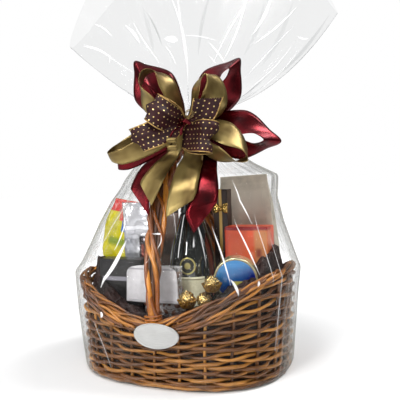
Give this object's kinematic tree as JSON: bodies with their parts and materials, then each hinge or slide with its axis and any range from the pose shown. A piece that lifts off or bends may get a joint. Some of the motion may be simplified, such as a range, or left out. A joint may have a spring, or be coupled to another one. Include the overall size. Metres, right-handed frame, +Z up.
{
  "type": "gourmet gift basket",
  "caption": "Oval wicker basket of packed food and a bottle, wrapped in clear film gathered above its arched handle and tied with a large looped bow of three ribbons.",
  "frame": {"origin": "on the table, under the middle of the basket", "axes": "+X along the basket's long side, -Y towards the side with the bow, +Z up"},
  "size_m": [0.5735, 0.3521, 0.817],
  "materials": {
    "clear_film": "thin clear glossy film",
    "tie_gold": "gold ribbon",
    "burgundy_satin": "glossy burgundy satin ribbon",
    "gold_satin": "glossy metallic gold ribbon",
    "dotted_sheer": "dark red ribbon with gold dots and gold edges",
    "wicker": "glossy woven willow",
    "rods": "glossy peeled rods",
    "tag_metal": "plain white satin plate",
    "tissue": "crumpled dark tissue paper",
    "yellow_pack": "glossy yellow bag",
    "silver_pack": "silver bag",
    "dark_card": "dark printed card",
    "clear_bag": "clear bag of brown sweets",
    "white_paper": "plain white label",
    "brown_pack": "brown paper pack",
    "grey_card": "grey and white carton",
    "chocolate_card": "dark brown card",
    "gold_foil": "crinkled gold foil",
    "kraft_paper": "beige paper bag",
    "orange_card": "orange printed carton",
    "blue_metal": "glossy blue tin with a gold rim",
    "dark_glass": "very dark green bottle glass, full",
    "capsule": "dark foil capsule",
    "cream_label": "cream label",
    "emblem": "gold stamped ring",
    "crimped_cup": "crimped brown and gold paper cup"
  },
  "bodies": {
    "root": {"film": "clear_film", "tie_ribbon": "tie_gold", "bow_burgundy": "burgundy_satin", "bow_gold": "gold_satin", "bow_dotted": "dotted_sheer", "basket": "wicker", "rim_border": "rods", "handle": "rods", "oval_tag": "tag_metal", "tissue": "tissue", "yellow_bag": "yellow_pack", "silver_bag": "silver_pack", "dark_box": "dark_card", "sweets_bag": "clear_bag", "sweets_label": "white_paper", "brown_pack": "brown_pack", "tall_pack": "grey_card", "tied_box": "chocolate_card", "foil_bow": "gold_foil", "paper_bag": "kraft_paper", "orange_box": "orange_card", "blue_tin": "blue_metal", "bottle": "dark_glass", "bottle_foil": "capsule", "bottle_label": "cream_label", "bottle_emblem": "emblem", "sweet_1": "gold_foil", "sweet_cup_1": "crimped_cup", "sweet_2": "gold_foil", "sweet_cup_2": "crimped_cup", "sweet_3": "gold_foil"}
  },
  "joints": []
}
